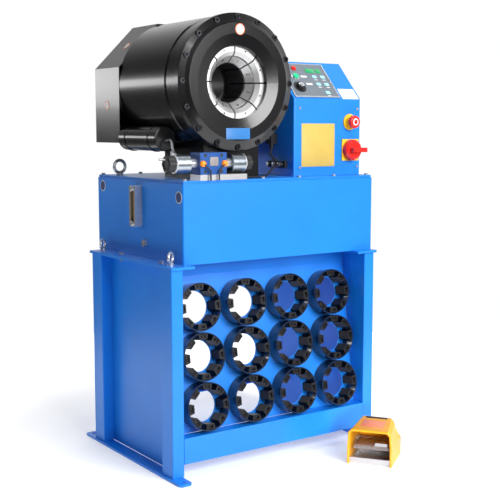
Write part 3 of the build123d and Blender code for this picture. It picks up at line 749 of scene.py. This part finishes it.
    def light(self, lamp: Lamp) -> None:
        """Add one soft light.

        Args:
            lamp: its place, aim, power and size.
        """
        data = bpy.data.lights.new(lamp.name, "SPOT" if lamp.cone else "AREA")
        data.energy = lamp.watts
        if lamp.cone:
            data.spot_size = math.radians(lamp.cone)
            data.spot_blend = self.spot_blend
            data.shadow_soft_size = lamp.size[0]
        else:
            data.shape = "RECTANGLE"
            data.size, data.size_y = lamp.size
        stand = bpy.data.objects.new(lamp.name, data)
        stand.location = lamp.at
        stand.rotation_euler = (Vector(lamp.to) - Vector(lamp.at)).to_track_quat("-Z", "Y").to_euler()
        bpy.context.scene.collection.objects.link(stand)


def dress_frame(frame: dict) -> None:
    """Give every CAD node its finish.

    Args:
        frame: the loaded frame, whose "nodes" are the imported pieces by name.
    """
    finishes = {node: finish for finish, nodes in NODE_FINISHES.items() for node in nodes}
    for name, node in frame["nodes"].items():
        node.data.materials.clear()
        node.data.materials.append(finishes[name].material())


@dataclass
class HeadLooks:
    """Discs, bare plate, and the dies' numerals, dowels and pins; the centre is (x, z) in metres."""

    centre: Row = (-0.121, 1.119)
    face_radius: float = 151.0
    disc_across: float = 2.0
    disc_inset: float = 3.0
    flange_disc: Disc = Disc(16.0, 13.0, 0.4)
    plate_across: float = -5.0
    plate_inset: float = 5.0
    bare_plate: Sheet = Sheet(82, 32, 0.8, BLUE_FILM)
    dies: int = 8
    numeral_radius: float = 67.0
    numeral_depth: float = 23.3
    numeral_proud: float = 0.2
    numeral_size: float = 17.0
    cone_rise: float = 0.644
    dowel_radius: float = 95.0
    dowel: Turning = Turning(((2.6, -1), (2.6, 0.15), (2.2, 0.3)), STAMP_INK, 24)
    pin_radius: float = 60.0
    pin_depth: float = 58.0
    pin: Turning = Turning(((2.4, 0), (2.4, 1.2), (1.8, 1.8)), BRIGHT_ZINC, 24)
    chamfer: float = 136.0
    side_disc_height: float = 115.0
    side_disc: Disc = Disc(14.0, 11.0, 0.3)
    slope_disc_at: Row = (-78.0, 100.0)
    slope_disc: Disc = Disc(13.0, 10.0, 0.3)

    def dress_die(self, n: int, angle: float, front: float) -> None:
        """Stamp one master die and show its dowel and its insert's pin.

        Args:
            n: the die's number.
            angle: its midline's angle from the top.
            front: its front face's y in metres.
        """
        x, z = self.centre
        outward = np.array([math.sin(angle), 0.0, math.cos(angle)])
        across = (math.cos(angle), 0.0, -math.sin(angle))
        forward = np.array([0.0, -1.0, 0.0])
        body = f"die_{n}"

        def at(radius: float, behind: float, up: np.ndarray) -> Place:
            origin = np.array([x, front + behind * MM, z]) + outward * radius * MM
            return Place(tuple(origin), across, tuple(up))

        cone = self.cone_rise * outward + math.sqrt(1 - self.cone_rise**2) * forward
        stamp = at(self.numeral_radius, self.numeral_depth, cone).moved(0, 0, self.numeral_proud)
        numeral(f"die_numeral_{n}", str(n), stamp, self.numeral_size, STAMP_INK, body)
        turned(f"die_dowel_{n}", at(self.dowel_radius, 0.0, outward), self.dowel, body)
        turned(f"insert_pin_{n}", at(self.pin_radius, self.pin_depth, forward), self.pin, body)

    def build(self) -> None:
        """Build the head's details."""
        x, z = self.centre
        face = Place((x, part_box("front_flange")[0].y, z))
        top = face.moved(self.disc_across, self.face_radius - self.disc_inset)
        disc("flange_disc_rim", "flange_disc", top, self.flange_disc)
        bottom = face.moved(self.plate_across, self.plate_inset - self.face_radius)
        plate("flange_bare_plate", bottom, self.bare_plate)
        for n in range(1, self.dies + 1):
            angle = 2 * math.pi * (n - 0.5) / self.dies
            self.dress_die(n, angle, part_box(f"master_die_{n}")[0].y)
        low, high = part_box("rear_cover")
        side = Place((low.x, (low.y + high.y) / 2, low.z + self.side_disc_height * MM), LEFT_SIDE)
        disc("cover_side_disc", "cover_side_disc_face", side, self.side_disc)
        diagonal = math.sqrt(0.5)
        corner = Place((low.x, low.y, high.z - self.chamfer * MM), LEFT_SIDE, (diagonal, 0.0, diagonal))
        disc("cover_slope_disc", "cover_slope_disc_face", corner.moved(*self.slope_disc_at), self.slope_disc)


@dataclass
class ControlLooks:
    """Key panel, plates and buttons; slope places are millimetres, and a display is (right, up, width)."""

    slope_run: float = 0.110
    slope_rise: float = 0.118
    front_height: float = 0.234
    panel_left: float = 8.0
    panel_low: float = 6.0
    panel_out: float = 3.0
    panel_size: Row = (175.0, 144.0)
    frame_width: float = 4.0
    frame_thickness: float = 1.6
    frame_corner: float = 0.8
    displays: tuple[Point, ...] = ((120, 120, 34), (152, 120, 18))
    display_height: float = 18.0
    display_thickness: float = 1.2
    display_corner: float = 1.5
    keys: tuple[Row, ...] = ((126, 94), (158, 94), (126, 62), (158, 62), (144, 26))
    key: Sheet = Sheet(17, 12, 1.4, CYAN_KEY, 3)
    key_label_drop: float = 13.0
    key_label: Sheet = Sheet(13, 3, 0.3, WHITE_FILM_AND_PAINTED_HIGHLIGHT, 1)
    labels: tuple[Row, ...] = ((84, 94), (90, 62))
    label: Sheet = Sheet(24, 8, 0.3, WHITE_FILM_AND_PAINTED_HIGHLIGHT, 1.5)
    lamp_at: Row = (61, 128)
    lamp: Turning = Turning(((9, 0), (9, 2), (7, 5), (2, 6.5)), RED_ABS)
    start_at: Row = (50, 92)
    start_ring: Turning = Turning(((14, 0), (14, 1.6), (12.5, 2.4), (10.6, 2.4), (10.6, 0.2)), BRIGHT_ZINC)
    dial_at: Row = (46, 48)
    dial_scale: Turning = Turning(((22, 0), (22, 0.25)), BLACK_NYLON_AND_PAINTED_SHADE)
    dial_cap_out: float = 12.4
    dial_cap: Turning = Turning(((9.5, 0), (9.5, 0.4), (8, 1.0)), BRIGHT_ZINC)
    slope_plate_at: Row = (226, 25)
    slope_plate: Sheet = Sheet(66, 44, 0.6, WHITE_FILM_AND_PAINTED_HIGHLIGHT, 2)
    front_plate_at: Row = (94, 94)
    front_plate: Sheet = Sheet(130, 132, 0.8, YELLOW_FILM, 2)
    stop_out: float = 0.2
    stop_dish: Turning = Turning(((11, 0), (11, 0.4), (9, 0.8)), WHITE_FILM_AND_PAINTED_HIGHLIGHT)
    stop_middle: Turning = Turning(((7, 0), (7, 0.8), (5, 1.4)), RED_ABS)

    def slope(self, x_mm: float, s_mm: float, out_mm: float = 0.0) -> Place:
        """Place on the sloping face, from its lower left corner.

        Args:
            x_mm: distance to the right, in millimetres.
            s_mm: distance up the slope, in millimetres.
            out_mm: distance out of the face, in millimetres.

        Returns:
            The place.
        """
        low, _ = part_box("control_box")
        length = math.hypot(self.slope_run, self.slope_rise)
        up = (0.0, self.slope_run / length, self.slope_rise / length)
        corner = Place((low.x, low.y, low.z + self.front_height), up=up)
        return corner.moved(x_mm, s_mm, out_mm)

    def build_panel(self) -> None:
        """Build the panel's frame, displays, keys and labels."""
        out = self.panel_out
        width, height = self.panel_size
        bar = self.frame_width
        middle_x, middle_s = self.panel_left + width / 2, self.panel_low + height / 2
        edge_x, edge_s = (width - bar) / 2, (height - bar) / 2
        bars = ((0, edge_s, width, bar), (0, -edge_s, width, bar))
        posts = ((edge_x, 0, bar, height - 2 * bar), (-edge_x, 0, bar, height - 2 * bar))
        for n, (dx, ds, w, h) in enumerate(bars + posts, start=1):
            strip = Sheet(w, h, self.frame_thickness, PANEL_FRAME, self.frame_corner)
            plate(f"panel_frame_{n}", self.slope(middle_x + dx, middle_s + ds, out), strip)
        for n, (x, s, w) in enumerate(self.displays, start=1):
            glass = Sheet(w, self.display_height, self.display_thickness, DISPLAY_GREEN, self.display_corner)
            plate(f"display_{n}", self.slope(x, s, out), glass)
        for n, (x, s) in enumerate(self.keys, start=1):
            plate(f"key_{n}", self.slope(x, s, out), self.key)
            plate(f"key_label_{n}", self.slope(x, s - self.key_label_drop, out), self.key_label)
        for n, (x, s) in enumerate(self.labels, start=1):
            plate(f"panel_label_{n}", self.slope(x, s, out), self.label)

    def build(self) -> None:
        """Build the control box's details."""
        out = self.panel_out
        self.build_panel()
        turned("run_lamp", self.slope(*self.lamp_at, out), self.lamp)
        turned("start_ring", self.slope(*self.start_at, out), self.start_ring)
        turned("dial_scale", self.slope(*self.dial_at, out), self.dial_scale)
        turned("dial_cap", self.slope(*self.dial_at, out + self.dial_cap_out), self.dial_cap, "pressure_dial")
        plate("slope_bare_plate", self.slope(*self.slope_plate_at), self.slope_plate)
        low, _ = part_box("control_box")
        plate("front_bare_plate", Place((low.x, low.y, low.z)).moved(*self.front_plate_at), self.front_plate)
        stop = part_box("stop_button")
        cap = Place(((stop[0].x + stop[1].x) / 2, stop[0].y, (stop[0].z + stop[1].z) / 2))
        turned("stop_cap_dish", cap.moved(0, 0, -self.stop_out), self.stop_dish, "stop_button")
        turned("stop_cap_middle", cap.moved(0, 0, self.stop_out), self.stop_middle, "stop_button")


@dataclass
class ValveLooks:
    """Plate, sockets, lenses, rings, knobs and pipes of the valve group; rod and pipe places are metres."""

    plate_at: Row = (2, 6)
    bare_plate: Sheet = Sheet(28, 25, 0.8, PLATE_GREY, 3)
    sockets: tuple[Row, ...] = ((-27, 23), (27, 23), (-27, -23), (27, -23))
    socket_sunk: float = 1.2
    socket: Turning = Turning(((4.9, 0), (4.9, 0.6)), BLACK_NYLON_AND_PAINTED_SHADE, 24)
    lens_across: float = 36.0
    lens: Turning = Turning(((9, 0), (9, 4), (8, 7), (6, 9), (2, 10)), ORANGE_LENS)
    ring_back: float = 20.5
    # The coil's end ring is a plated rim; its flat white is a painted highlight.
    ring: Turning = Turning(((21.2, 0), (25.5, 0), (26.5, 1.5), (25.5, 3), (21.2, 3)), WHITE_FILM_AND_PAINTED_HIGHLIGHT, 72)
    knob: Turning = Turning(
        ((21.4, -17), (22.6, -16), (22.6, 4), (18, 7), (15, 7), (14, 4), (4, 4)), BLACK_NYLON_AND_PAINTED_SHADE, 96, (6, 0.06)
    )
    rod_radius: float = 3.0
    rod_rise: Row = (0.012, 0.013)
    rod_reach: Row = (0.004, 0.015)
    rod_margin: float = 0.001
    bleed_radius: float = 3.2
    bleed_route: tuple[Point, ...] = (
        (-0.286, 0.0, 0.952), (-0.286, -0.032, 0.962), (-0.288, -0.044, 0.925), (-0.296, -0.07, 0.915),
        (-0.306, -0.115, 0.911),
    )
    ferrule_at: Point = (-0.2875, -0.0405, 0.923)
    ferrule: Turning = Turning(((4.8, 0), (5.4, 0.6), (5.4, 13), (4.8, 13.6)), WHITE_FILM_AND_PAINTED_HIGHLIGHT, 24)

    def build_body(self) -> None:
        """Build the body's plate, screw sockets and lenses."""
        low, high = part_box("valve_body")
        middle = Place(((low.x + high.x) / 2, low.y, (low.z + high.z) / 2))
        plate("valve_bare_plate", middle.moved(*self.plate_at), self.bare_plate)
        for n, (x, z) in enumerate(self.sockets, start=1):
            turned(f"valve_socket_{n}", middle.moved(x, z, -self.socket_sunk), self.socket)
        for name, side in (("left", -1), ("right", 1)):
            turned(f"valve_lens_{name}", middle.moved(side * self.lens_across, 0), self.lens)

    def build(self) -> None:
        """Build the valve's details."""
        self.build_body()
        low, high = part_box("valve_coils")
        y, z = (low.y + high.y) / 2, (low.z + high.z) / 2
        left, right = Place((low.x, y, z), LEFT_SIDE), Place((high.x, y, z), (0.0, 1.0, 0.0))
        for name, end in (("left", left), ("right", right)):
            turned(f"coil_ring_{name}", end.moved(0, 0, -self.ring_back), self.ring)
            turned(f"coil_knob_{name}", end, self.knob)
        foot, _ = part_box("foot_plates")
        near, far = self.rod_reach
        start, rest = self.rod_rise
        reach = foot.x + self.rod_margin
        rod = [(low.x - near, y, z + start), (low.x - far, y, z + rest), (reach, y, z + rest)]
        pipe("override_rod", rod, self.rod_radius, BRIGHT_ZINC)
        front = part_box("return_filter")[0].y
        bleed = [(x, front + step, height) for x, step, height in self.bleed_route]
        pipe("bleed_pipe", bleed, self.bleed_radius, BRIGHT_ZINC)
        x, step, height = self.ferrule_at
        sleeve = Place((x, front + step, height), (1.0, 0.0, 0.0), (0.0, -1.0, 0.0))
        turned("bleed_ferrule", sleeve, self.ferrule)


@dataclass
class TankLooks:
    """Gauge bolts and round discs on the tank's side; the discs' places are millimetres from its front top."""

    bolt_inset: float = 0.008
    bolt: Turning = Turning(((8.5, 0), (8.5, 4), (7.2, 5.2)), BRIGHT_ZINC, 24, (6, 0.05))
    discs: tuple[Row, ...] = ((-22, -38), (-488, -26))
    disc: Disc = Disc(17.0, 14.5, 0.4, WHITE_FILM_AND_PAINTED_HIGHLIGHT, NAVY_FILM)

    def build(self) -> None:
        """Build the tank's small details."""
        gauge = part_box("gauge_frame")
        face = Place((gauge[0].x, (gauge[0].y + gauge[1].y) / 2, 0.0), LEFT_SIDE)
        for name, z in (("low", gauge[0].z + self.bolt_inset), ("high", gauge[1].z - self.bolt_inset)):
            turned(f"gauge_bolt_{name}", face.moved(0, z / MM), self.bolt)
        low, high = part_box("tank_shell")
        side = Place((low.x, low.y, high.z), LEFT_SIDE)
        for n, (y, z) in enumerate(self.discs, start=1):
            disc(f"tank_disc_{n}", f"tank_disc_face_{n}", side.moved(y, z), self.disc)


@dataclass
class CableLooks:
    """Plug screw, gland nuts and the two cables beside the control box; places are metres."""

    cable_diameter: float = 0.0065
    lid_gap: float = 0.0003
    steps: int = 16
    nut_rows: tuple[float, ...] = (-0.122, -0.093, -0.064)
    nut_height: float = 0.878
    nut: Turning = Turning(((6.5, 0), (6.5, 1.2), (4.5, 1.6)), BRIGHT_ZINC, 24)
    plug_y: float = -0.070
    plug_inset: float = 0.014
    plug_axis: float = 0.011
    screw: Turning = Turning(((5, 0), (5, 1), (4, 1.4)), BRIGHT_ZINC, 24)

    def route(self, name: str, points: list[Point]) -> None:
        """Lay a cable through given points.

        Between two points the curve is a cubic whose slope at each is half the step between its neighbours.

        Args:
            name: the cable's name.
            points: places in metres, from where it leaves the object.
        """
        knots = np.array([points[0], *points, points[-1]])
        t = np.linspace(0, 1, self.steps, endpoint=False)[:, None]
        line = []
        for before, start, end, after in zip(knots, knots[1:], knots[2:], knots[3:]):
            line.append(
                0.5 * (2 * start + (end - before) * t + (2 * before - 5 * start + 4 * end - after) * t**2
                       + (3 * start - before - 3 * end + after) * t**3)
            )
        line = np.vstack([*line, knots[-1:]])
        curve = bpy.data.curves.new(name, "CURVE")
        curve.dimensions = "3D"
        spline = curve.splines.new("POLY")
        spline.points.add(len(line) - 1)
        spline.points.foreach_set("co", np.column_stack([line, np.ones(len(line))]).ravel())
        curve.bevel_depth = self.cable_diameter / 2
        curve.bevel_resolution = ROUND_STEPS
        curve.use_fill_caps = True
        curve.materials.append(BLACK_NYLON_AND_PAINTED_SHADE.material())
        piece = bpy.data.objects.new(name, curve)
        bpy.context.scene.collection.objects.link(piece)
        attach(piece, "root")

    def build(self) -> None:
        """Build the cables and the bright dots of their fittings."""
        low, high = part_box("cable_entries")
        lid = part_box("tank_lid")[1].z
        for n, y in enumerate(self.nut_rows, start=1):
            turned(f"gland_nut_{n}", Place((low.x, y, self.nut_height), LEFT_SIDE), self.nut)
        turned("plug_screw", Place((low.x, self.plug_y, high.z - self.plug_inset), LEFT_SIDE), self.screw)
        x = low.x + self.plug_axis
        self.route(
            "plug_cable",
            [(x, self.plug_y, 0.927), (x - 0.008, -0.074, 0.910), (x - 0.004, -0.086, 0.897),
             (x, -0.093, 0.887)],
        )
        rest = lid + self.cable_diameter / 2 + self.lid_gap
        self.route(
            "valve_cable",
            [(low.x, -0.122, 0.878), (low.x - 0.028, -0.132, 0.870), (low.x - 0.062, -0.150, rest + 0.003),
             (low.x - 0.095, -0.170, rest), (low.x - 0.140, -0.186, rest), (low.x - 0.189, -0.194, rest)],
        )


@dataclass
class PedalLooks:
    """Moulded hood, tread pad and toe catch of the foot pedal; each arch is (back, height, wall, lean)."""

    origin: Point = (0.1745, -0.455, 0.0)
    turn: float = -53.8
    half_width: float = 66.5
    corner: float = 10.0
    corner_ease: float = 0.4
    waist: float = 54.0
    waist_gap: float = 4.0
    crown: float = 0.5
    rear_wall: float = 3.5
    arches: tuple[tuple[float, float, float, float], ...] = (
        (0, 104, 4, 3), (1.5, 106, 6, 2), (6, 107, 6, 2), (7.5, 105.5, 4, 3.5), (60, 111, 4, 8),
        (110, 117, 4, 14),
        (114, 117, 4, 15), (136, 100, 4, 18), (146, 86, 4, 20),
    )
    roof_slope: Row = (50.0, 6.0)
    roof_at: Row = (85.0, 114.2)
    recess_up: float = 19.0
    # The recess is a thin black sheet laid on the roof: painted shade for its hollow.
    recess: Sheet = Sheet(66, 11, 1.2, BLACK_NYLON_AND_PAINTED_SHADE, 3)
    plate_up: float = -29.0
    bare_plate: Sheet = Sheet(70, 52, 0.8, ORANGE_FILM, 3)
    tread_sunk: float = 4.0
    pad_back: float = 68.0
    pad: Sheet = Sheet(98, 66, 2.4, TREAD_ALLOY, 4)
    lip_back: float = 33.0
    lip_drop: float = 7.0
    lip: Sheet = Sheet(102, 6, 8.5, CAST_ALLOY, 2)
    catch_foot: tuple[Row, ...] = ((8, 34), (48, 34), (28, 74))
    catch_top: tuple[Row, ...] = ((10, 35), (46, 35), (28, 70))
    catch_rise: Row = (2.2, 11.2)
    gland_at: Point = (56.0, 146.0, 30.0)
    gland_in: float = 22.0
    gland: Turning = Turning(((8, -2), (8, 3), (6, 4), (6, 8), (4, 9)), GREY_NYLON, 32)

    def place(self, x: float = 0, y: float = 0, z: float = 0) -> Place:
        """Give a place whose plane is the pedal's ground plan, seen from above.

        Args:
            x: distance across the pedal, in millimetres.
            y: distance towards its back, in millimetres.
            z: height, in millimetres.

        Returns:
            The place.
        """
        cos, sin = math.cos(math.radians(self.turn)), math.sin(math.radians(self.turn))
        return Place(self.origin, (cos, sin, 0.0), (-sin, cos, 0.0)).moved(x, y, z)

    def outline(self, height: float, inset: float, lean: float) -> np.ndarray:
        """Draw one side of an arch from its left foot over the top to its right foot.

        Args:
            height: the arch's height in millimetres.
            inset: how far this side lies inside the outer one.
            lean: how far the shoulders stand inside the feet.

        Returns:
            Rows of (across, height) in millimetres.
        """
        foot, top = self.half_width - inset, height - inset
        corner = self.corner - self.corner_ease * inset
        shoulder = foot - lean
        waist = min(self.waist, top - corner - self.waist_gap)
        left = np.array([(-foot, 0), (-foot, waist), (-shoulder, top - corner), (-shoulder + corner, top)])
        right = left[::-1] * [-1, 1]
        return np.vstack([left, [(0, top + self.crown)], right])

    def arch(self, y: float, height: float, wall: float, lean: float) -> np.ndarray:
        """Draw an arch as a closed line: its outer side from left to right, then its inner side back.

        Args:
            y: its distance back, in millimetres.
            height: its height in millimetres.
            wall: its wall in millimetres.
            lean: how far the shoulders stand inside the feet.

        Returns:
            Rows of local (x, y, z) in millimetres.
        """
        flat = np.vstack([self.outline(height, 0.0, lean), self.outline(height, wall, lean)[::-1]])
        return np.column_stack([flat[:, 0], np.full(len(flat), y), flat[:, 1]])

    def build_hood(self) -> None:
        """Build the hood and its rear wall, which stand in for the plain guard, and what lies on its roof."""
        ground = self.place()
        rings = np.array([self.arch(*section) for section in self.arches])
        hood = ring_mesh("pedal_hood", ground.lift(rings[::-1] * MM), PEDAL_YELLOW, "root", smooth=False)
        outer = rings[-1][: rings.shape[1] // 2]
        shut = np.array([outer + [0, step, 0] for step in (0.0, -self.rear_wall)])
        rear = ring_mesh("pedal_hood_back", ground.lift(shut * MM), PEDAL_YELLOW, "root", smooth=False)
        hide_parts("pedal_guard")
        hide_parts("pedal_guard")
        run, rise = np.array(self.roof_slope) / math.hypot(*self.roof_slope)
        up = np.array(ground.up) * run + np.array([0, 0, rise])
        roof = Place(self.place(0, *self.roof_at).origin, ground.across, tuple(up))
        # A black sheet on the roof stands in for the recess: painted shade.
        plate("hood_recess_painted_shade", roof.moved(0, self.recess_up), self.recess)
        plate("hood_bare_plate", roof.moved(0, self.plate_up), self.bare_plate)

    def build(self) -> None:
        """Build the hood and what lies on the treadle."""
        self.build_hood()
        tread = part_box("pedal_treadle")[1].z / MM - self.tread_sunk
        plate("tread_pad", self.place(0, self.pad_back, tread), self.pad, "treadle")
        plate("tread_lip", self.place(0, self.lip_back, tread - self.lip_drop), self.lip, "treadle")
        outlines = (self.catch_foot, self.catch_top)
        rings = np.array([[(x, y, tread + h) for x, y in flat] for flat, h in zip(outlines, self.catch_rise)])
        ring_mesh("toe_catch", self.place().lift(rings * MM), CAST_ALLOY, "treadle", smooth=False)
        rear = self.place(*self.gland_at)
        side = Place(rear.origin, tuple(-np.array(rear.across)), (0.0, 0.0, 1.0))
        turned("pedal_gland", side.moved(self.gland_in, 0), self.gland)


def main() -> None:
    """Load the frame, dress it, build each class's pieces and report."""
    logging.basicConfig(level=logging.INFO, format="%(message)s")
    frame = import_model()
    dress_frame(frame)
    for part in (Studio(), HeadLooks(), ControlLooks(), ValveLooks(), TankLooks(), CableLooks(), PedalLooks()):
        part.build()
        LOG.info("built %s", type(part).__name__)


if __name__ == "__main__":
    main()
